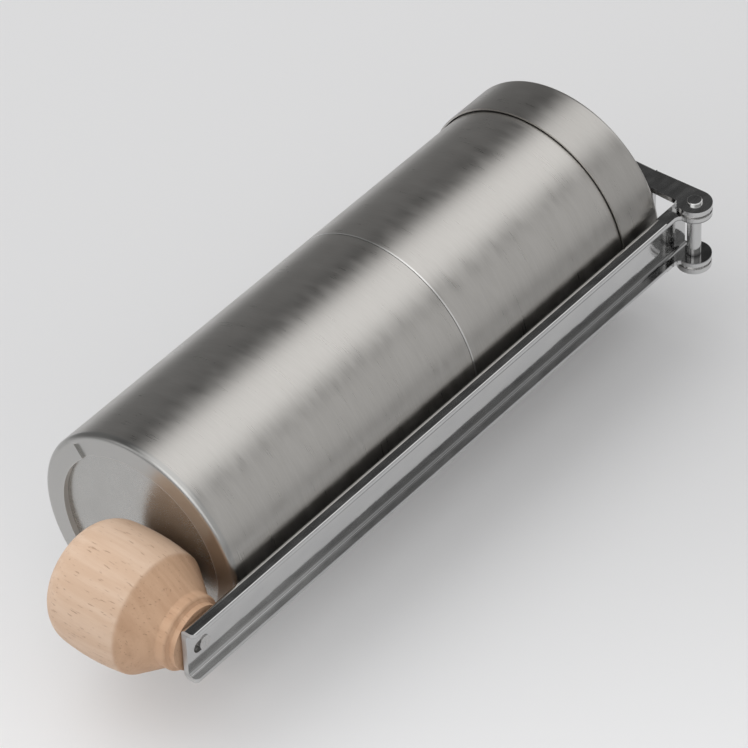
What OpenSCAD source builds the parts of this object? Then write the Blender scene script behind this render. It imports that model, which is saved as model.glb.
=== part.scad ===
// Hand crank coffee grinder, lying on its side with the crank folded along the body.
// Every piece is modelled upright, with its base at height 0 and the folded handle towards +X,
// and lay_down() then puts it on its side: height becomes +X and the handle comes to -Y.

/* [Body] */
// Outer diameter of the cup and hopper tubes
body_d = 53; // [50:0.5:56]
// Height of the seam between the cup and the hopper
seam_h = 78.9; // [77:0.1:82]
// Height of the lid's lower edge
lid_edge_h = 130.5; // [129:0.5:132]
// Height of the lid's top face
lid_top_h = 143.3; // [143:0.1:144]
// Wall of the two drawn steel tubes
tube_wall = 0.8; // [0.6:0.1:1]
// Wall of the lid's skirt
lid_wall = 0.4; // [0.4:0.1:0.6]
// Radius of the cup's rounded bottom corner
base_corner_r = 1.2; // [0.6:0.1:2]
// Inner radius of the ring that the cup stands on
base_ring_r = 21.2; // [20.5:0.1:22]
// Depth of the recessed disc inside that ring
base_recess = 1.3; // [1.2:0.1:2]
// Width of the vent notch across the ring
notch_w = 4.8; // [3:0.1:6]
// Direction of the vent notch, in degrees from the handle
notch_turn = -127; // [-160:1:-90]

/* [Crank] */
// Distance of the folding hinge from the body's axis
hinge_reach = 33; // [32.5:0.1:34]
// Height of the folding hinge
hinge_h = 147.9; // [147.5:0.1:148.5]
// Diameter of the hinge pin
hinge_pin_d = 3.2; // [2.8:0.1:3.6]
// Radius of the round ears at the hinge
ear_r = 4; // [3.6:0.1:4.2]
// Thickness of the sheet that arm and handle are pressed from
sheet = 1.2; // [1:0.1:1.3]
// Outer width of the arm over its two ears
arm_w = 17.8; // [17.6:0.1:18.4]
// Height of the arm's lower edge
arm_low_h = 145.8; // [145.4:0.1:146.2]
// Height of the arm's upper face
arm_top_h = 151.8; // [151:0.1:152]
// Outer width of the handle channel
handle_w = 14; // [13:0.1:14.2]
// Depth of the handle channel's flanges
handle_depth = 3.4; // [2.8:0.1:3.8]
// Gap between the lid and the folded handle
handle_gap = 1; // [0.4:0.1:1.4]
// Height of the handle's free end, below the base
handle_end_h = -19; // [-20:0.1:-18.5]

/* [Knob] */
// Largest diameter of the wooden knob
knob_d = 29.2; // [27:0.1:29.4]
// Height of the knob's axis, below the base
knob_h = -13.7; // [-14.5:0.1:-13.7]
// Distance of the knob's far face beyond the body's axis
knob_past_axis = 4.8; // [3:0.1:6]
// Distance of the ridge where the knob's cone starts from the body's axis
knob_ridge = 16.7; // [15:0.1:16.8]
// Radius of the knob's rounded far edge
knob_edge_r = 7.2; // [4:0.1:8]
// Travel of the knob's axle in its slot
knob_travel = 1.7; // [1:0.1:1.8]

/* [Burrs] */
// Outer diameter of the fixed burr ring
burr_ring_d = 38; // [37:0.5:39]
// Largest diameter of the turning cone burr
cone_d = 32.2; // [31:0.1:32.4]
// Fine teeth round each burr
fine_teeth = 36; // [24:2:40]
// Coarse breaking flutes round the cone
coarse_flutes = 5; // [4:1:6]
// Lean of the teeth from the axis, in degrees
tooth_lean = 28; // [15:1:35]
// Diameter of the drive shaft
shaft_d = 6; // [5.6:0.1:6]
// Turns of the spring above the cone burr
spring_turns = 3.5; // [2.5:0.5:4]
// Scallops round the adjusting nut
nut_scallops = 10; // [8:1:12]

/* [Hidden] */
$fn = 96;

// clearances
run = 0.05;          // radial running clearance of a shaft in its bush
seam_gap = 0.15;     // hairline between the two tubes

// body
body_r = body_d / 2;
bore_r = body_r - tube_wall;
lid_in_r = body_r + 0.3;
lid_r = lid_in_r + lid_wall;
lid_roof = 0.8;
lid_corner_r = 1;
gasket_t = 1;
tube_top_h = lid_top_h - lid_roof - gasket_t;
cup_floor_t = 0.8;
notch_depth = 0.6;
notch_end_r = body_r - 1.8;
collar_in_r = bore_r - 1.7;
collar_low_h = seam_h - 9.5;
lid_hole_r = 6;
grommet_r = 4.6;

// burr carrier, its funnel and the fixed burr
ring_r = burr_ring_d / 2;
carrier_low_h = seam_h - 9.3;
carrier_flange_h = seam_h + seam_gap;
carrier_top_h = seam_h + 14;
skirt_r = collar_in_r - 0.15;
seat_h = carrier_low_h + 1.5;
burr_ring_t = 12;
burr_top_h = seat_h + burr_ring_t;
seat_lip_r = ring_r - 1.6;
clamp_t = 1.5;
seal_r = 0.9;
seal_h = carrier_low_h + 2.6;
spoke_w = 4;
spoke_t = 3.5;
spokes = 3;

// shaft, bushes, cone burr and adjusting nut, from the bottom up
shaft_r = shaft_d / 2;
thread_r = 2.5;
hex_across = 6;
shaft_low_h = 57.5;
nut_low_h = 59.8;
nut_t = 6;
nut_r = 9;
click_h = nut_low_h + nut_t;
click_t = 1;
core_flange_h = click_h + click_t;
core_flange_t = 2;
core_flange_r = 9;
cone_low_h = core_flange_h + core_flange_t;
cone_t = 16;
cone_top_h = cone_low_h + cone_t;
cone_r = cone_d / 2;
cone_band_h = cone_low_h + 2;
cone_mid_h = cone_low_h + 8;
cone_mid_r = 12.4;
cone_top_r = 7.2;
core_r = 5.6;
washer_t = 0.6;
hub_low_h = seam_h + 13.5;
hub_t = 7;
hub_r = 6.5;
bush_r = 4.6;
bush_flange_r = 6;
bush_flange_t = 0.8;
bracket_h = 120.5;
bracket_t = 3;
bracket_hub_t = 7;
hex_low_h = bracket_h + bracket_hub_t + 3;
shaft_top_h = arm_top_h - 0.3;
clip_t = 0.7;
clip_h = bracket_h + bracket_hub_t + bush_flange_t + 0.1;

// crank arm and hub
arm_in = arm_w / 2 - sheet;
arm_web_end = 19.5;
arm_bend_r = 1;
arm_edge_drop = 0.5;
hub_proud = 0.1;
crank_hub_low_h = lid_top_h + 1;
crank_hub_r = 6.6;
hub_neck_r = 4.2;

// handle channel
web_x = lid_r + handle_gap;
tip_x = web_x + handle_depth;
bend_r = 1.2;
bend_in_r = 0.8;
flange_edge_r = 0.4;
flange_end_r = 1.2;
handle_web_top_h = hinge_h + 1.5;
pin_r = hinge_pin_d / 2;
rivet_head = 0.6;
hinge_gap = arm_in - handle_w / 2;

// knob and its axle
knob_r = knob_d / 2;
axle_r = 2;
spigot_r = 1.45;
slot_r = spigot_r + run;
knob_bush_r = 3.5;
knob_washer_t = 0.5;
knob_near_x = web_x - knob_washer_t;
axle_end_x = 3;

// where the lying grinder stands: the middle of its length and width, on the floor
length_low = knob_h - knob_r;
length_high = max(hinge_h + ear_r, arm_top_h + hub_proud);
width_handle = hinge_reach + ear_r;

module lay_down() {
    translate([-(length_low + length_high) / 2, (width_handle - lid_r) / 2, lid_r])
        rotate([-90, 0, 0]) rotate([0, 90, 0]) children();
}

// points of an arc about [cx, cy], from angle a0 to a1
function arc(cx, cy, r, a0, a1, steps = 8) =
    [for (i = [0:steps]) let (a = a0 + (a1 - a0) * i / steps) [cx + r * cos(a), cy + r * sin(a)]];

// a ring between two radii and two heights
module ring(inner, outer, low, high) {
    translate([0, 0, low]) difference() {
        cylinder(r = outer, h = high - low);
        translate([0, 0, -1]) cylinder(r = inner, h = high - low + 2);
    }
}

// a flat outline of [x, height] points made into a plate from y = -width/2 to width/2
module plate_across(width) {
    translate([0, width / 2, 0]) rotate([90, 0, 0]) linear_extrude(width) children();
}

// a rod along Y through the folding hinge
module across_hinge(r, width) {
    translate([hinge_reach, width / 2, hinge_h]) rotate([90, 0, 0]) cylinder(r = r, h = width);
}

// three spokes from a hub out to a given radius
module spider(low, reach) {
    for (i = [0:spokes - 1]) rotate([0, 0, 60 + i * 360 / spokes])
        translate([bush_r + 0.5, -spoke_w / 2, low]) cube([reach - bush_r - 0.5, spoke_w, spoke_t]);
}

// ---- cup ----

// Drawn cup: a tube turned in at the foot to a flat ring to stand on, with a rounded outer corner
// and a shallow notch across the ring, which lets the air out when the cup is set down
module grounds_cup() {
    color("#a9a7a3") difference() {
        rotate_extrude() difference() {
            square([body_r, seam_h]);
            translate([body_r - base_corner_r, 0]) difference() {
                square(base_corner_r + 1);
                translate([0, base_corner_r]) circle(base_corner_r);
                translate([-1, base_corner_r]) square(base_corner_r + 3);
            }
            translate([0, -1]) square([base_ring_r, base_recess + 2]);
            translate([0, base_recess]) square([bore_r, seam_h]);
        }
        rotate([0, 0, notch_turn]) translate([base_ring_r - 1, -notch_w / 2, -1])
            cube([notch_end_r - base_ring_r + 1, notch_w, notch_depth + 1]);
    }
}

// Bottom disc, pressed in on the cup's inturned ring
module cup_base() {
    color("#a3a19d") translate([0, 0, base_recess]) cylinder(r = bore_r - 0.02, h = cup_floor_t);
}

// Threaded liner pressed into the cup's mouth
module cup_collar() {
    color("#2c2c2e") ring(collar_in_r, bore_r, collar_low_h, seam_h - 0.4);
}

// ---- hopper and burr carrier ----

module hopper_tube() {
    color("#a9a7a3") ring(bore_r, body_r, seam_h + seam_gap, tube_top_h);
}

// Moulded ring in the foot of the hopper: skirt for the cup, seat for the fixed burr, funnel and
// a three-spoked hub for the lower bush
module burr_carrier() {
    color("#2c2c2e") difference() {
        union() {
            rotate_extrude() polygon([
                [seat_lip_r, carrier_low_h], [skirt_r, carrier_low_h], [skirt_r, carrier_flange_h],
                [bore_r, carrier_flange_h], [bore_r, carrier_top_h], [bore_r - 0.8, carrier_top_h],
                [ring_r, burr_top_h + clamp_t + 1], [ring_r, seat_h], [seat_lip_r, seat_h]]);
            spider(hub_low_h, bore_r - 0.3);
            translate([0, 0, hub_low_h]) cylinder(r = hub_r, h = hub_t);
        }
        translate([0, 0, hub_low_h - 1]) cylinder(r = bush_r, h = hub_t + 2);
        translate([0, 0, seal_h]) rotate_extrude() translate([skirt_r, 0]) circle(seal_r, $fn = 24);
    }
}

// Rubber ring in the skirt's groove
module cup_seal() {
    color("#5a4a42") translate([0, 0, seal_h]) rotate_extrude() intersection() {
        translate([skirt_r, 0]) circle(seal_r - 0.02, $fn = 24);
        translate([0, -seal_r]) square([skirt_r + 0.08, 2 * seal_r]);
    }
}

// one V-shaped groove, running up along Z with its edge towards +X
module v_groove(length, width, depth) {
    linear_extrude(length) polygon([[0, -width / 2], [depth, 0], [0, width / 2]]);
}

// Fixed burr: a ceramic ring whose inner cone is cut with leaning teeth
module outer_burr() {
    tooth_w = 2 * PI * 15 / fine_teeth * 0.8;
    color("#e8e4da") difference() {
        rotate_extrude() polygon([
            [cone_r + 0.35, seat_h], [ring_r, seat_h], [ring_r, burr_top_h], [15.8, burr_top_h],
            [14.6, burr_top_h - 1.8], [14.6, seat_h + 7], [cone_r + 0.35, seat_h + 1.5]]);
        for (i = [0:fine_teeth - 1]) rotate([0, 0, i * 360 / fine_teeth])
            translate([cone_r - 0.3, 0, seat_h - 1]) rotate([tooth_lean, -14, 0])
                v_groove(11, tooth_w, 1.3);
    }
}

// Ring that clamps the fixed burr down in its seat
module burr_clamp_ring() {
    color("#9a9894") difference() {
        ring(16, ring_r, burr_top_h, burr_top_h + clamp_t);
        for (a = [0, 180]) rotate([0, 0, a])
            translate([15, -1.2, burr_top_h - 1]) cube([3, 2.4, clamp_t + 2]);
    }
}

// Flanged bush, flange at the bottom
module bush(low, length) {
    difference() {
        union() {
            translate([0, 0, low - bush_flange_t]) cylinder(r = bush_flange_r, h = bush_flange_t);
            translate([0, 0, low - 0.01]) cylinder(r = bush_r, h = length + 0.01);
        }
        translate([0, 0, low - bush_flange_t - 1])
            cylinder(r = shaft_r + run, h = length + bush_flange_t + 2);
    }
}

module lower_bush() { color("#d8d2c4") bush(hub_low_h, hub_t); }

// The upper bush has its flange on top, under the shaft's clip
module upper_bush() {
    color("#d8d2c4") translate([0, 0, 2 * bracket_h + bracket_hub_t]) mirror([0, 0, 1])
        bush(bracket_h, bracket_hub_t);
}

// Three-spoked bracket that steadies the shaft below the hopper's mouth
module upper_bracket() {
    color("#2c2c2e") difference() {
        union() {
            ring(bore_r - 1.4, bore_r, bracket_h, bracket_h + bracket_t);
            spider(bracket_h, bore_r - 0.6);
            translate([0, 0, bracket_h]) cylinder(r = hub_r, h = bracket_hub_t);
        }
        translate([0, 0, bracket_h - 1]) cylinder(r = bush_r, h = bracket_hub_t + 2);
    }
}

// ---- lid ----

// Slip-over cap with a small top radius and a hole for the shaft
module lid() {
    color("#b4b2ae") rotate_extrude() difference() {
        translate([0, lid_edge_h]) square([lid_r, lid_top_h - lid_edge_h]);
        translate([lid_r - lid_corner_r, lid_top_h - lid_corner_r]) difference() {
            square(lid_corner_r + 1);
            circle(lid_corner_r);
        }
        translate([0, lid_edge_h - 1]) square([lid_in_r, lid_top_h - lid_roof - lid_edge_h + 1]);
        translate([0, lid_edge_h]) square([lid_hole_r, lid_top_h]);
    }
}

module lid_gasket() {
    color("#3a3a3c") ring(body_r - 2, body_r, tube_top_h, tube_top_h + gasket_t);
}

// Plastic grommet that lines the lid's hole
module lid_grommet() {
    color("#2c2c2e") rotate_extrude() polygon([
        [grommet_r, lid_top_h - 2.4], [lid_hole_r + 1, lid_top_h - 2.4],
        [lid_hole_r + 1, lid_top_h - lid_roof], [lid_hole_r - 0.03, lid_top_h - lid_roof],
        [lid_hole_r - 0.03, lid_top_h + 0.1], [grommet_r, lid_top_h + 0.1]]);
}

// ---- turning train ----

// Shaft: threaded foot, two flats through the cone burr, round journals and a hexagonal top
module drive_shaft() {
    color("#c8c8c8") difference() {
        union() {
            translate([0, 0, shaft_low_h + 0.5]) cylinder(r = thread_r, h = 20);
            translate([0, 0, shaft_low_h]) cylinder(r1 = thread_r - 0.5, r2 = thread_r, h = 0.5);
            translate([0, 0, core_flange_h]) cylinder(r = shaft_r, h = hex_low_h - core_flange_h);
            translate([0, 0, hex_low_h]) intersection() {
                cylinder(r = hex_across / sqrt(3), h = shaft_top_h - hex_low_h, $fn = 6);
                cylinder(r = hex_across / 2 + 0.35, h = shaft_top_h - hex_low_h);
            }
        }
        for (side = [-1, 1]) translate([side * 5, 0, core_flange_h + cone_t / 2])
            cube([5, 10, cone_t + 2 * core_flange_t + 2], center = true);
        ring(shaft_r - 0.5, shaft_r + 1, clip_h, clip_h + clip_t);
    }
}

// Spring clip in the shaft's groove, open on one side
module shaft_clip() {
    color("#8f8f8f") difference() {
        ring(shaft_r - 0.45, shaft_r + 2, clip_h + 0.03, clip_h + clip_t - 0.03);
        translate([0, -1.4, clip_h - 1]) cube([shaft_r + 4, 2.8, clip_t + 2]);
    }
}

// Cone burr: steep upper cone with breaking flutes, flat lower cone with fine leaning teeth
module inner_burr() {
    slope = atan2(cone_r - cone_mid_r, cone_mid_h - cone_band_h);
    upper_slope = atan2(cone_mid_r - cone_top_r, cone_top_h - cone_mid_h);
    tooth_w = 2 * PI * cone_r / fine_teeth * 0.75;
    color("#e8e4da") difference() {
        rotate_extrude() polygon([
            [core_r, cone_low_h], [cone_r - 0.6, cone_low_h], [cone_r, cone_low_h + 0.6],
            [cone_r, cone_band_h], [cone_mid_r, cone_mid_h], [cone_top_r, cone_top_h],
            [core_r, cone_top_h]]);
        for (i = [0:fine_teeth - 1]) rotate([0, 0, i * 360 / fine_teeth])
            translate([cone_r + 0.5, 0, cone_low_h - 1]) rotate([tooth_lean, -slope * 0.8, 0])
                mirror([1, 0, 0]) v_groove(12, tooth_w, 1.4);
        for (i = [0:coarse_flutes - 1]) rotate([0, 0, i * 360 / coarse_flutes])
            translate([cone_mid_r + 1.2, 0, cone_mid_h - 1]) rotate([tooth_lean, -upper_slope, 0])
                mirror([1, 0, 0]) v_groove(16, 6.5, 4.2);
    }
}

// Moulded core that carries the cone on the shaft's two flats
module burr_core() {
    color("#2c2c2e") difference() {
        union() {
            translate([0, 0, core_flange_h]) cylinder(r = core_flange_r, h = core_flange_t);
            translate([0, 0, cone_low_h]) cylinder(r = core_r, h = cone_t);
        }
        translate([0, 0, core_flange_h - 1]) intersection() {
            cylinder(r = shaft_r + run, h = cone_t + core_flange_t + 2);
            translate([-(2.5 + run), -10, 0]) cube([5 + 2 * run, 20, 40]);
        }
        for (i = [0:nut_scallops - 1]) rotate([0, 0, (i + 0.5) * 360 / nut_scallops])
            translate([7.3, 0, core_flange_h]) sphere(r = 0.5, $fn = 16);
    }
}

module spring_washer() {
    color("#b0b0b0") ring(shaft_r + 0.1, core_r, cone_top_h, cone_top_h + washer_t);
}

// one ring of points of the spring's wire, at angle a along the coil
function wire_ring(a, low, pitch, coil_r, wire_r, sides) =
    [for (k = [0:sides - 1]) let (b = k * 360 / sides, r = coil_r + wire_r * cos(b))
        [r * cos(a), r * sin(a), low + pitch * a / 360 + wire_r * sin(b)]];

// Spring between the cone and the lower bush, which keeps the cone down on its nut
module burr_spring() {
    wire_r = 0.4;
    sides = 8;
    low = cone_top_h + washer_t + wire_r + 0.02;
    high = hub_low_h - bush_flange_t - wire_r - 0.02;
    pitch = (high - low) / spring_turns;
    steps = 24 * spring_turns;
    rings = [for (i = [0:steps]) wire_ring(i * 15, low, pitch, 4.6, wire_r, sides)];
    walls = [for (i = [0:steps - 1], k = [0:sides - 1]) let (n = (k + 1) % sides)
        [i * sides + k, i * sides + n, (i + 1) * sides + n, (i + 1) * sides + k]];
    start = [for (k = [sides - 1:-1:0]) k];
    end = [for (k = [0:sides - 1]) steps * sides + k];
    color("#c8c8c8") polyhedron([for (r = rings, p = r) p], concat(walls, [start, end]));
}

// Detent plate, keyed to the shaft's flats above the nut
module click_plate() {
    color("#b0b0b0") difference() {
        ring(shaft_r + run, 8.4, click_h, click_h + click_t);
        for (i = [0:nut_scallops - 1]) rotate([0, 0, i * 360 / nut_scallops])
            translate([6.6, 0, click_h - 1]) cylinder(r = 0.5, h = click_t + 2, $fn = 24);
    }
}

// Scalloped nut that sets the gap between the burrs
module adjust_nut() {
    color("#2c2c2e") difference() {
        translate([0, 0, nut_low_h]) cylinder(r = nut_r, h = nut_t);
        translate([0, 0, nut_low_h - 1]) cylinder(r = thread_r + run, h = nut_t + 2);
        for (i = [0:nut_scallops - 1]) rotate([0, 0, i * 360 / nut_scallops])
            translate([nut_r + 1, 0, nut_low_h - 1]) cylinder(r = 2, h = nut_t + 2);
    }
}

// ---- crank ----

// side outline of the arm: a straight strip that ends in the round hinge ear, with its upper edge
// a little lower where the sides run on without the web
module arm_outline() {
    polygon(concat(
        [[-arm_w, arm_low_h], [hinge_reach - ear_r - 0.5, arm_low_h]],
        arc(hinge_reach, hinge_h, ear_r, 210, 450, 24),
        [[arm_web_end + 0.8, arm_top_h - arm_edge_drop], [arm_web_end, arm_top_h],
         [-arm_w, arm_top_h]]));
}

// Plan of the arm, or of its hollow: a strip that is rounded about the shaft
module arm_plan(half_w) {
    circle(half_w);
    translate([0, -half_w]) square([60, 2 * half_w]);
}

// Arm: a shallow tray pressed from sheet, open towards the lid and round about the shaft, whose
// two sides run out into the hinge's ears
module crank_arm() {
    half = arm_w / 2;
    bend_h = arm_top_h - arm_bend_r;
    color("#3c3c40") difference() {
        intersection() {
            plate_across(arm_w) arm_outline();
            union() {
                linear_extrude(bend_h) arm_plan(half);
                linear_extrude(200) arm_plan(half - arm_bend_r);
                rotate_extrude() translate([half - arm_bend_r, bend_h]) circle(arm_bend_r);
                for (side = [-1, 1]) translate([0, side * (half - arm_bend_r), bend_h])
                    rotate([0, 90, 0]) cylinder(r = arm_bend_r, h = 60);
                translate([arm_web_end + 0.4, -half, 0]) cube([40, arm_w, 200]);
            }
        }
        linear_extrude(arm_top_h - sheet) arm_plan(arm_in);
        translate([arm_web_end, -arm_in, 0]) cube([60, 2 * arm_in, 200]);
        translate([0, 0, arm_top_h - 2]) cylinder(r = hub_neck_r, h = 4);
        across_hinge(pin_r + 0.02, arm_w + 2);
    }
}

// Hub riveted up through the arm, with the hexagonal socket that takes the shaft
module crank_hub() {
    color("#8f8f8f") difference() {
        union() {
            translate([0, 0, crank_hub_low_h])
                cylinder(r = crank_hub_r, h = arm_top_h - sheet - crank_hub_low_h);
            translate([0, 0, arm_top_h - sheet - 0.01])
                cylinder(r = hub_neck_r, h = sheet + hub_proud + 0.01);
        }
        translate([0, 0, crank_hub_low_h - 1])
            cylinder(r = (hex_across + 0.12) / sqrt(3), h = 20, $fn = 6);
    }
}

// Hinge pin, its heads low discs with eased edges
module hinge_pin() {
    head_r = pin_r + 0.15;
    edge = 0.25;
    color("#d0d0d0") union() {
        across_hinge(pin_r, arm_w + 0.2);
        for (side = [-1, 1]) translate([hinge_reach, side * arm_w / 2, hinge_h])
            rotate([-90 * side, 0, 0]) rotate_extrude() polygon(concat(
                [[0, 0], [head_r, 0]], arc(head_r - edge, rivet_head - edge, edge, 0, 90, 4),
                [[0, rivet_head]]));
    }
}

// Two washers between the arm's ears and the handle's
module hinge_washers() {
    washer = hinge_gap - 0.1;
    color("#b0b0b0") for (side = [-1, 1]) translate([0, side * (arm_in - washer / 2 - 0.02), 0])
        difference() {
            across_hinge(ear_r - 0.5, washer);
            across_hinge(pin_r + run, washer + 1);
        }
}

// a rectangle from x0 to x1, half_w to each side, with corners of radius r0 at x0 and r1 at x1
module rounded_strip(x0, x1, half_w, r0, r1) {
    translate([x0 + r0, -half_w]) square([x1 - x0 - r0 - r1, 2 * half_w]);
    translate([x0, -half_w + r0]) square([r0 + 0.01, 2 * (half_w - r0)]);
    translate([x1 - r1 - 0.01, -half_w + r1]) square([r1 + 0.01, 2 * (half_w - r1)]);
    for (side = [-1, 1]) {
        translate([x0 + r0, side * (half_w - r0)]) circle(r0, $fn = 48);
        translate([x1 - r1, side * (half_w - r1)]) circle(r1, $fn = 32);
    }
}

// section of the handle channel in x and y: bends on the web side, edges eased at the tips
module handle_section() {
    difference() {
        rounded_strip(web_x, tip_x, handle_w / 2, bend_r, flange_edge_r);
        rounded_strip(web_x + sheet, tip_x + 5, handle_w / 2 - sheet, bend_in_r, flange_edge_r);
    }
}

// side outline of one handle ear: the flange runs straight into a round lobe about the hinge
module handle_ear_outline() {
    low_h = hinge_h - 8;
    polygon(concat(
        [[web_x, low_h], [web_x, handle_web_top_h]],
        arc(hinge_reach, hinge_h, ear_r, 150, -98, 24),
        [[tip_x + 0.25, hinge_h - 4.5], [tip_x, hinge_h - 5.4], [tip_x, low_h]]));
}

// Handle: a straight channel, web towards the body, slotted at its free end for the knob's axle
module handle_channel() {
    half = handle_w / 2;
    color("#b9b9b9") difference() {
        union() {
            translate([0, 0, handle_end_h]) linear_extrude(handle_web_top_h - handle_end_h)
                handle_section();
            for (side = [-1, 1]) translate([0, side * (half - sheet / 2), 0])
                intersection() {
                    plate_across(sheet) handle_ear_outline();
                    translate([web_x + bend_r * 0.3, -10, 0]) cube([60, 20, 200]);
                }
        }
        translate([tip_x - flange_end_r, 0, handle_end_h + flange_end_r])
            plate_across(handle_w + 2) difference() {
                translate([0, -flange_end_r - 1]) square(flange_end_r + 1);
                circle(flange_end_r);
            }
        across_hinge(pin_r + run, handle_w + 2);
        for (h = [knob_h, knob_h - knob_travel]) translate([web_x - 1, 0, h]) rotate([0, 90, 0])
            cylinder(r = slot_r, h = sheet + 2);
        translate([web_x - 1, -slot_r, knob_h - knob_travel]) cube([sheet + 2, 2 * slot_r, knob_travel]);
    }
}

// a round piece about the knob's axis, from one distance from the body's axis to another
module on_knob_axis(r, from, to) {
    translate([from, 0, knob_h]) rotate([0, 90, 0]) cylinder(r = r, h = to - from);
}

// Axle: shoulder in the knob, spigot through the slot, ring groove that the bush snaps into
module knob_axle() {
    color("#c8c8c8") difference() {
        union() {
            on_knob_axis(axle_r, axle_end_x, web_x - 0.02);
            on_knob_axis(spigot_r, web_x - 0.1, web_x + sheet + 0.1);
            on_knob_axis(slot_r + 0.12, web_x + sheet + 0.03, web_x + sheet + 0.3);
        }
        difference() {
            on_knob_axis(axle_r + 1, axle_end_x + 2, axle_end_x + 3);
            on_knob_axis(axle_r - 0.4, axle_end_x + 1, axle_end_x + 4);
        }
    }
}

module knob_washer() {
    color("#b0b0b0") difference() {
        on_knob_axis(4.5, knob_near_x, web_x - 0.02);
        on_knob_axis(axle_r + run, knob_near_x - 1, web_x + 1);
    }
}

// Turned outline of the knob, radius against distance from the body's axis: rounded far edge,
// crowned barrel up to a soft ridge, cone, small bead and narrower neck
module knob_outline() {
    far = -knob_past_axis;
    edge = knob_edge_r;
    crown_r = 50;
    crown_x = 7.8;
    lean = asin((crown_x - far - edge) / (crown_r - edge));
    ridge_r = 1.4;
    turn = asin((knob_ridge - 0.5 - crown_x) / crown_r);
    bead = 8.6;
    bead_x = 23.7;
    neck = 7.4;
    near = knob_near_x - 0.06;
    polygon(concat(
        [[0, far]],
        arc(knob_r - crown_r + (crown_r - edge) * cos(lean), far + edge, edge, 270, 360 - lean, 12),
        arc(knob_r - crown_r, crown_x, crown_r, -lean + 2, turn - 1, 5),
        arc(knob_r - crown_r + (crown_r - ridge_r) * cos(turn),
            crown_x + (crown_r - ridge_r) * sin(turn), ridge_r, turn, 37, 5),
        [[bead + 0.1, bead_x - 0.2], [bead, bead_x + 0.2]],
        arc(bead - 0.8, bead_x + 1.5, 0.8, 0, 80, 4),
        [[neck, bead_x + 2.7], [neck, near], [0, near]]));
}

module knob() {
    color("#dcb892") difference() {
        translate([0, 0, knob_h]) rotate([0, 90, 0]) rotate_extrude() knob_outline();
        on_knob_axis(knob_bush_r, axle_end_x - 1.5, knob_near_x + 1);
    }
}

// Sleeve pressed into the knob, which turns on the axle
module knob_bush() {
    color("#b89b5e") difference() {
        on_knob_axis(knob_bush_r, axle_end_x - 1.5, knob_near_x - 0.06);
        on_knob_axis(axle_r + run, axle_end_x - 0.2, knob_near_x + 1);
    }
}

lay_down() grounds_cup();
lay_down() cup_base();
lay_down() cup_collar();
lay_down() hopper_tube();
lay_down() burr_carrier();
lay_down() cup_seal();
lay_down() outer_burr();
lay_down() burr_clamp_ring();
lay_down() lower_bush();
lay_down() upper_bracket();
lay_down() upper_bush();
lay_down() lid();
lay_down() lid_gasket();
lay_down() lid_grommet();
lay_down() drive_shaft();
lay_down() shaft_clip();
lay_down() inner_burr();
lay_down() burr_core();
lay_down() spring_washer();
lay_down() burr_spring();
lay_down() click_plate();
lay_down() adjust_nut();
lay_down() crank_arm();
lay_down() crank_hub();
lay_down() hinge_pin();
lay_down() hinge_washers();
lay_down() handle_channel();
lay_down() knob_axle();
lay_down() knob_washer();
lay_down() knob();
lay_down() knob_bush();
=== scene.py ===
"""Hand crank coffee grinder, lying on its side with the crank folded along the body."""

import math

import bpy
from mathutils import Matrix, Vector

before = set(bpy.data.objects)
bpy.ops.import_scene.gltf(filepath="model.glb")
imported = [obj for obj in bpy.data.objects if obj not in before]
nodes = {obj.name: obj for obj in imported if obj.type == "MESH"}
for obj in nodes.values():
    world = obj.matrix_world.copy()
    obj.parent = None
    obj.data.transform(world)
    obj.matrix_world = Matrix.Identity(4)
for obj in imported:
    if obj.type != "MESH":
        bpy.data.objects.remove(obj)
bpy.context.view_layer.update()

# ---- Camera ----
# A long lens on a stand beyond the cup's end, on the handle's side and three quarters of a
# metre above the table. It looks down along the grinder.

CAMERA_STAND = (-0.5851, -0.5174, 0.7488)
camera_data = bpy.data.cameras.new("camera")
camera_data.sensor_width = 36
camera_data.lens = 239.3
camera_data.clip_start = 0.05
camera = bpy.data.objects.new("camera", camera_data)
bpy.context.scene.collection.objects.link(camera)
right = Vector((0.6333, -0.7732, -0.0332))
up = Vector((0.5390, 0.4099, 0.7359))
back = Vector((-0.5554, -0.4839, 0.6763))
camera.matrix_world = Matrix.Translation(CAMERA_STAND) @ Matrix(
    (right, up, back)
).transposed().to_4x4()
bpy.context.scene.camera = camera
bpy.context.scene.view_settings.view_transform = "Standard"

# ---- Table and studio light ----
# A plain pale table under a large soft lamp, which hangs behind and above the grinder.
# Bright metal mirrors the room round it: a long bright field overhead, a greyer screen in
# front, a dim wall behind, and an open doorway beyond the cup's end.


class Wire:
    """An output of a node. A sum written with it adds Math nodes beside it."""

    def __init__(self, nodes, socket):
        self.nodes = nodes
        self.socket = socket

    def maths(self, operation, first, second):
        return self.nodes.add("Math", {"operation": operation}, {0: first, 1: second})

    def __add__(self, other):
        return self.maths("ADD", self, other)

    def __radd__(self, other):
        return self.maths("ADD", other, self)

    def __sub__(self, other):
        return self.maths("SUBTRACT", self, other)

    def __rsub__(self, other):
        return self.maths("SUBTRACT", other, self)

    def __mul__(self, other):
        return self.maths("MULTIPLY", self, other)

    def __rmul__(self, other):
        return self.maths("MULTIPLY", other, self)


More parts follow.
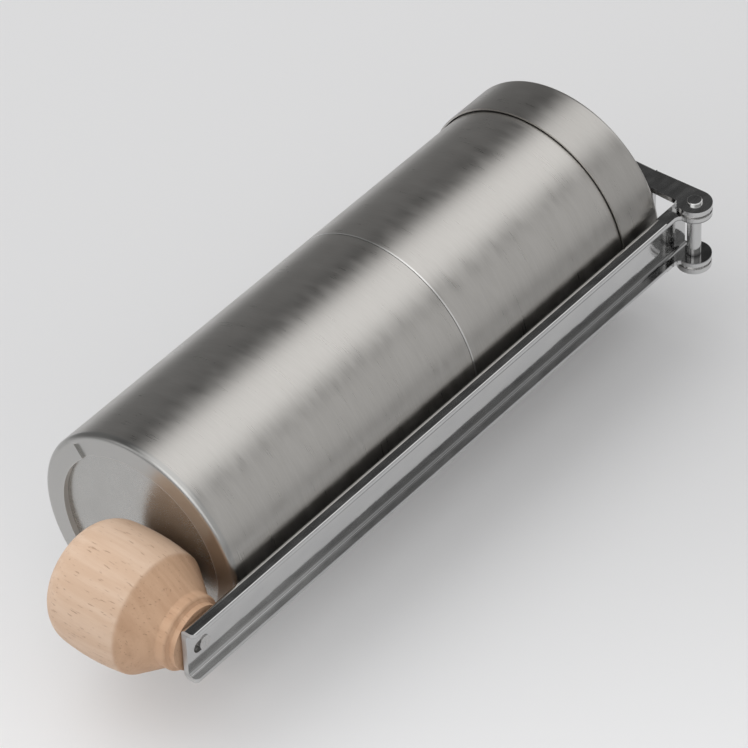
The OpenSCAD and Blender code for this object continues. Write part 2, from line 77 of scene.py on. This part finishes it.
class Nodes:
    """The nodes of one material or of the world."""

    def __init__(self, tree):
        self.tree = tree

    def add(self, kind, settings, inputs, output=0):
        node = self.tree.nodes.new("ShaderNode" + kind)
        for name, value in settings.items():
            setattr(node, name, value)
        for name, value in inputs.items():
            self.feed(node.inputs[name], value)
        return Wire(self, node.outputs[output])

    def feed(self, socket, value):
        if isinstance(value, Wire):
            self.tree.links.new(value.socket, socket)
        else:
            socket.default_value = value

    def between(self, value, low, high):
        """0 where value is under low, 1 where it is over high, smooth between them."""
        return self.add(
            "MapRange",
            {"interpolation_type": "SMOOTHSTEP"},
            {"Value": value, "From Min": low, "From Max": high},
        )

    def mixed(self, share, first, second):
        """A colour between two colours."""
        return self.add(
            "Mix",
            {"data_type": "RGBA"},
            {0: share, 6: first, 7: second},
            output=2,
        )


TABLE_HALF = 4
corners = [(-1, -1), (1, -1), (1, 1), (-1, 1)]
floor_mesh = bpy.data.meshes.new("table")
floor_mesh.from_pydata(
    [(x * TABLE_HALF, y * TABLE_HALF, 0) for x, y in corners], [], [(0, 1, 2, 3)]
)
floor = bpy.data.objects.new("table", floor_mesh)
bpy.context.scene.collection.objects.link(floor)

# The paint lights the grinder from below, and is paler near it than far off. The camera
# sees an even tone instead, with a faint glow that is stronger towards the front.
NEAR_PAINT = (0.82, 0.82, 0.83, 1)
FAR_PAINT = (0.22, 0.22, 0.22, 1)
SEEN_PAINT = (0.62, 0.62, 0.625, 1)
FRONT_GLOW = (0.31, 0.31, 0.312, 1)
BACK_GLOW = (0.135, 0.135, 0.136, 1)
table_paint = bpy.data.materials.new("table_paint")
table_paint.use_nodes = True
table = Nodes(table_paint.node_tree)
table_shader = table_paint.node_tree.nodes["Principled BSDF"]
place = table.add("TexCoord", {}, {}, output=3)
distance = table.add("VectorMath", {"operation": "LENGTH"}, {0: place}, output=1)
rays = table_paint.node_tree.nodes.new("ShaderNodeLightPath")
is_camera = Wire(table, rays.outputs["Is Camera Ray"])
paint = table.mixed(table.between(distance, 0.04, 0.38), NEAR_PAINT, FAR_PAINT)
table.feed(
    table_shader.inputs["Base Color"], table.mixed(is_camera, paint, SEEN_PAINT)
)
table_shader.inputs["Roughness"].default_value = 0.75
backwards = 0.8 * table.add("SeparateXYZ", {}, {0: place}) + 0.6 * table.add(
    "SeparateXYZ", {}, {0: place}, output=1
)
glow = table.mixed(table.between(backwards, -0.14, 0.04), FRONT_GLOW, BACK_GLOW)
table.feed(
    table_shader.inputs["Emission Color"], table.mixed(is_camera, (0, 0, 0, 1), glow)
)
table_shader.inputs["Emission Strength"].default_value = 1.0
floor_mesh.materials.append(table_paint)

lamp_data = bpy.data.lights.new("softbox", "AREA")
lamp_data.shape = "RECTANGLE"
lamp_data.size = 0.8
lamp_data.size_y = 0.6
lamp_data.energy = 1.1
lamp = bpy.data.objects.new("softbox", lamp_data)
bpy.context.scene.collection.objects.link(lamp)
lamp.location = (-0.10, 0.34, 0.84)
aim = Vector((0, 0, 0.02))
lamp.rotation_euler = (aim - lamp.location).to_track_quat("-Z", "Y").to_euler()
lamp.visible_glossy = False

world = bpy.data.worlds.new("studio")
bpy.context.scene.world = world
world.use_nodes = True
room = Nodes(world.node_tree)
towards = room.add("TexCoord", {}, {})
side_ways = room.add("SeparateXYZ", {}, {0: towards}, output=1)
upwards = room.add("SeparateXYZ", {}, {0: towards}, output=2)

# The room is marked out in degrees of turn about the grinder's length, from the table
# behind, over the top and down to the table in front.
turn = room.add("Math", {"operation": "ARCTAN2"}, {0: upwards, 1: side_ways}) * (
    180 / math.pi
)
wall = 1 - room.between(turn, 30, 50)
overhead = room.between(turn, 53.5, 79) * (1 - room.between(turn, 120, 126))
screen = room.between(turn, 118, 124)
forwards = room.add("SeparateXYZ", {}, {0: towards}, output=0)

# A grey card high beyond the lid, which the handle's lower flange mirrors.
CARD_X, CARD_Y, CARD_Z = 0.555, 0.484, 0.676
card = room.between(
    CARD_X * forwards - CARD_Y * side_ways + CARD_Z * upwards, 0.978, 0.992
)
doorway = room.between(-1 * forwards, 0.55, 0.75)
GLOOM, WALL_LIGHT, OVERHEAD_LIGHT, SCREEN_LIGHT = 0.04, 0.12, 1.0, 0.50
lit = GLOOM + WALL_LIGHT * wall + OVERHEAD_LIGHT * overhead + SCREEN_LIGHT * screen
mirrored = lit * (1 - 0.5 * card)
rays = world.node_tree.nodes.new("ShaderNodeLightPath")
is_camera = Wire(room, rays.outputs["Is Camera Ray"])
is_glossy = Wire(room, rays.outputs["Is Glossy Ray"])
BACKDROP = 0.70
DOORWAY_LIGHT = 0.5
seen = BACKDROP * is_camera + (mirrored + DOORWAY_LIGHT * doorway) * is_glossy

# Soft light from all round, stronger from a window high behind the cup's end.
window = room.between(0.55 * side_ways + 0.5 * upwards - 0.42 * forwards, -0.5, 0.8)
soft_light = 0.36 + 0.68 * window
strength = seen + soft_light * (1 - is_camera) * (1 - is_glossy)
background = world.node_tree.nodes["Background"]
room.feed(background.inputs["Strength"], strength)
background.inputs["Color"].default_value = (1, 1, 1, 1)

# ---- Cup, hopper and lid ----
# Drawn stainless tubes, 53 mm across, brushed round and round on a lathe with a fine
# abrasive. A pale strip on the hopper's edge at the seam is a painted highlight. The
# cup's standing ring and the disc set into it are left satin.


class Finish(Nodes):
    """A material, from its nodes."""

    def __init__(self, name):
        self.material = bpy.data.materials.new(name)
        self.material.use_nodes = True
        super().__init__(self.material.node_tree)
        self.shader = self.tree.nodes["Principled BSDF"]
        self.place = self.add("TexCoord", {}, {}, output=3)

    def set(self, **inputs):
        for name, value in inputs.items():
            self.feed(self.shader.inputs[name.replace("_", " ")], value)

    def noise(self, stretch, detail):
        """Noise whose cells are 1 / stretch metres long each way."""
        at = self.add(
            "Mapping",
            {"vector_type": "TEXTURE"},
            {"Vector": self.place, "Scale": [1 / s for s in stretch]},
        )
        return self.add("TexNoise", {}, {"Vector": at, "Scale": 1.0, "Detail": detail})

    def bump(self, height, depth):
        """A relief: height from 0 to 1 stands for depth metres."""
        self.set(
            Normal=self.add(
                "Bump", {}, {"Height": height, "Strength": 1.0, "Distance": depth}
            )
        )

    def cover(self, *names):
        for name in names:
            mesh = nodes[name].data
            mesh.materials.clear()
            mesh.materials.append(self.material)


# SEAM is where the hopper's edge starts. The cup is satin up to CUP_FOOT, which takes in
# the standing ring and the wall of the recess. NO_SATIN is past the end of the grinder.
AXIS = (0, 0.0049, 0.0272)
SEAM = 0.01725
CUP_FOOT = -0.0606
RECESS_RADIUS = 0.0212
NO_SATIN = -1.0
BRUSHED_DARK = (0.54, 0.523, 0.498)
BRUSHED_PALE = (0.65, 0.631, 0.604)
SATIN_GREY = (0.52, 0.515, 0.50, 1)
# Paler than the satin: painted light that hides the recess wall's dark reflection.
RECESS_WALL_PAINTED_PALE = (0.66, 0.655, 0.64, 1)
# Colour of the painted highlight on the hopper's edge at the seam.
SEAM_HIGHLIGHT_GREY = (0.92, 0.91, 0.89, 1)


def steel_tube(name, satin_below, shade):
    """Brushed steel that is satin where X is under satin_below."""
    steel = Finish(name)
    lines = steel.noise((9000, 260, 260), 3)
    streaks = steel.between(steel.noise((4600, 210, 210), 4), 0.2, 0.8)
    smear = steel.between(steel.noise((420, 110, 110), 4), 0.25, 0.75)
    along = steel.add("SeparateXYZ", {}, {0: steel.place})
    satin = 1 - steel.between(along, satin_below, satin_below + 0.0006)
    tone = 0.25 * lines + 0.45 * streaks + 0.30 * smear
    colour = steel.mixed(
        tone,
        [part * shade for part in BRUSHED_DARK] + [1],
        [part * shade for part in BRUSHED_PALE] + [1],
    )
    colour = steel.mixed(satin, colour, SATIN_GREY)
    # Painted highlight: a thin pale strip just past the seam, where the hopper's edge
    # catches the light.
    seam_highlight = steel.between(along, SEAM - 0.0001, SEAM) * (
        1 - steel.between(along, SEAM + 0.0003, SEAM + 0.0005)
    )
    colour = steel.mixed(seam_highlight, colour, SEAM_HIGHLIGHT_GREY)
    rough = 0.235 + 0.05 * lines + 0.035 * streaks + 0.07 * smear
    rough = rough + satin * (0.28 - rough)
    from_axis = steel.add(
        "VectorMath", {"operation": "SUBTRACT"}, {0: steel.place, 1: AXIS}
    )
    from_axis = steel.add(
        "VectorMath", {"operation": "MULTIPLY"}, {0: from_axis, 1: (0, 1, 1)}
    )
    radius = steel.add("VectorMath", {"operation": "LENGTH"}, {0: from_axis}, output=1)
    # Painted light: the recess wall is drawn paler than the satin, and rougher, so the
    # dark line its reflection makes does not show.
    step = satin * (
        1 - steel.between(radius, RECESS_RADIUS + 0.00005, RECESS_RADIUS + 0.00025)
    )
    steel.set(
        Base_Color=steel.mixed(step, colour, RECESS_WALL_PAINTED_PALE),
        Metallic=1.0,
        Roughness=rough + 0.35 * step,
    )
    steel.bump(lines * (1 - 0.7 * satin), 0.000004)
    return steel


steel_tube("brushed_cup", CUP_FOOT, 1.0).cover("grounds_cup")
steel_tube("brushed_tube", NO_SATIN, 1.0).cover("hopper_tube")
# The lid is drawn 0.88 times as bright as the tubes: partly its own brushing, partly
# painted shade.
steel_tube("brushed_lid", NO_SATIN, 0.88).cover("lid")

satin = Finish("satin_base")
grain = satin.noise((5000, 5000, 5000), 2)
cloud = satin.noise((190, 150, 150), 3)
satin.set(
    Base_Color=satin.mixed(cloud, (0.47, 0.465, 0.45, 1), (0.57, 0.565, 0.55, 1)),
    Metallic=1.0,
    Roughness=0.21 + 0.06 * grain + 0.05 * cloud,
)
satin.bump(grain, 0.000002)
satin.cover("cup_base")

# ---- Moulded parts ----
# Black nylon with glass fibre, moulded: the burr carrier, the cup's threaded liner, the
# cone's core, the adjusting nut, the bracket that holds the shaft's upper bush, and the
# grommet in the lid.

nylon = Finish("black_nylon")
grain = nylon.noise((5000, 5000, 5000), 3)
cloud = nylon.noise((180, 180, 180), 2)
nylon.set(
    Base_Color=nylon.mixed(cloud, (0.022, 0.022, 0.024, 1), (0.040, 0.040, 0.043, 1)),
    Roughness=0.45 + 0.15 * grain,
)
nylon.bump(grain, 0.00002)
nylon.cover(
    "cup_collar",
    "burr_carrier",
    "burr_core",
    "adjust_nut",
    "upper_bracket",
    "lid_grommet",
)

# ---- Burrs ----
# White technical ceramic, pressed, fired and left unglazed. The ring is clamped in the
# carrier, and the cone turns in it with the shaft.

ceramic = Finish("ceramic")
grain = ceramic.noise((3500, 3500, 3500), 4)
cloud = ceramic.noise((220, 220, 220), 2)
ceramic.set(
    Base_Color=ceramic.mixed(cloud, (0.80, 0.77, 0.70, 1), (0.88, 0.86, 0.81, 1)),
    Roughness=0.42 + 0.18 * grain,
)
ceramic.bump(grain, 0.00003)
ceramic.cover("outer_burr", "inner_burr")

# ---- Bushes and seals ----
# Acetal bushes for the shaft, turned from bar and pressed into the carrier and the
# bracket. Soft rubber rings, one in the lid and one on the carrier's skirt for the cup.

acetal = Finish("acetal")
turned = acetal.noise((4000, 300, 300), 2)
acetal.set(
    Base_Color=acetal.mixed(turned, (0.70, 0.67, 0.60, 1), (0.80, 0.78, 0.72, 1)),
    Roughness=0.32 + 0.12 * turned,
)
acetal.bump(turned, 0.00001)
acetal.cover("lower_bush", "upper_bush")

rubber = Finish("rubber")
skin = rubber.noise((2500, 2500, 2500), 2)
rubber.set(
    Base_Color=rubber.mixed(skin, (0.030, 0.030, 0.031, 1), (0.055, 0.054, 0.053, 1)),
    Roughness=0.60 + 0.15 * skin,
)
rubber.bump(skin, 0.00002)
rubber.cover("cup_seal", "lid_gasket")

# ---- Shaft and small steel parts ----
# Stainless steel, turned: shaft, crank hub, clamp ring and the knob's axle. Wound or
# stamped: clip, spring, washers and the detent plate under the cone.

bright = Finish("turned_steel")
turned = bright.noise((6000, 800, 800), 3)
wear = bright.noise((400, 400, 400), 2)
bright.set(
    Base_Color=bright.mixed(wear, (0.56, 0.55, 0.54, 1), (0.66, 0.655, 0.645, 1)),
    Metallic=1.0,
    Roughness=0.22 + 0.12 * turned,
)
bright.bump(turned, 0.000006)
bright.cover(
    "drive_shaft",
    "shaft_clip",
    "burr_spring",
    "spring_washer",
    "click_plate",
    "burr_clamp_ring",
    "crank_hub",
    "hinge_washers",
    "knob_washer",
    "knob_axle",
)

# ---- Crank ----
# Arm and handle are pressed from stainless sheet to channels, joined by a turned pin, and
# polished to a mirror. Polishing leaves a faint ripple and hair scratches, and leaves the
# handle's sheared end unpolished. A dark grey band by the bends and the flanges' inner
# faces, deeper towards the hinge, is painted shade.

# X of the handle's end, and how far from the channels' middle the bend starts and the
# flange's inner face lies.
HANDLE_END = -0.0808
BEND = 0.0046
INNER_FACE = 0.0058

polished = Finish("polished_steel")
ripple = polished.noise((160, 260, 260), 1)
scratches = polished.noise((150, 5000, 5000), 3)
height = polished.add("SeparateXYZ", {}, {0: polished.place}, output=2)
off_middle = polished.add("Math", {"operation": "ABSOLUTE"}, {0: height - AXIS[2]})
inside = polished.between(off_middle, BEND, INNER_FACE - 0.0001) * (
    1 - polished.between(off_middle, INNER_FACE + 0.0001, INNER_FACE + 0.0004)
)
along = polished.add("SeparateXYZ", {}, {0: polished.place})
sheared = 1 - polished.between(along, HANDLE_END + 0.00003, HANDLE_END + 0.0001)
# Painted shade: the band by the bends and flanges is mixed towards dark grey, more so
# towards the hinge.
painted_shade = inside * (0.2 + 0.65 * polished.between(along, -0.07, -0.01))
sheet = polished.mixed(ripple, (0.60, 0.60, 0.60, 1), (0.67, 0.668, 0.66, 1))
polished.set(
    Base_Color=polished.mixed(painted_shade, sheet, (0.20, 0.20, 0.20, 1)),
    Metallic=1.0,
    Roughness=0.06 + 0.09 * scratches + 0.35 * sheared,
)
polished.bump(ripple + 0.04 * scratches, 0.00005)
polished.cover("crank_arm", "handle_channel", "hinge_pin")

# ---- Knob ----
# Turned from a beech dowel and oiled, so the grain runs along its axis, with soft yearly
# bands and short brown flecks. The cone below RIDGE, towards the handle, is drawn darker:
# partly as it cuts across the grain and takes the oil darker, partly as painted shade on
# the side turned from the light. A brass sleeve is pressed into the knob.

RIDGE = -0.0118
LATE_WOOD = (0.75, 0.53, 0.375, 1)
EARLY_WOOD = (0.83, 0.62, 0.465, 1)
FIBRE = (0.68, 0.46, 0.32, 1)
# Cone colours: darker end grain, with painted shade for the side away from the light.
CONE_WOOD_AND_SHADE = (0.60, 0.365, 0.225, 1)
CONE_FIBRE_AND_SHADE = (0.74, 0.485, 0.315, 1)
FLECK = (0.40, 0.23, 0.14, 1)

beech = Finish("beech")
bands = beech.noise((420, 26, 420), 3)
fibres = beech.noise((2600, 90, 2600), 4)
flecks = beech.noise((2600, 330, 2600), 2)
fleck = beech.between(flecks, 0.63, 0.73)
across = beech.add("SeparateXYZ", {}, {0: beech.place}, output=1)
# The cone below RIDGE: darker end grain and painted shade.
end_grain_and_shade = 1 - beech.between(across, RIDGE - 0.0006, RIDGE + 0.0007)
wood = beech.mixed(beech.between(bands, 0.35, 0.68), LATE_WOOD, EARLY_WOOD)
wood = beech.mixed(0.35 * fibres, wood, FIBRE)
rings = beech.between(beech.noise((700, 60, 160), 3), 0.3, 0.7)
cone_wood_and_shade = beech.mixed(0.3 * fibres + 0.6 * rings, CONE_WOOD_AND_SHADE, CONE_FIBRE_AND_SHADE)
wood = beech.mixed(end_grain_and_shade, wood, cone_wood_and_shade)
wood = beech.mixed(0.5 * fleck, wood, FLECK)
beech.set(Base_Color=wood, Roughness=0.48 + 0.14 * fibres)
beech.bump(fibres * 0.5 - fleck, 0.00006)
beech.cover("knob")

brass = Finish("brass")
turned = brass.noise((800, 6000, 800), 3)
brass.set(
    Base_Color=brass.mixed(turned, (0.62, 0.47, 0.22, 1), (0.75, 0.60, 0.32, 1)),
    Metallic=1.0,
    Roughness=0.24 + 0.12 * turned,
)
brass.bump(turned, 0.000006)
brass.cover("knob_bush")
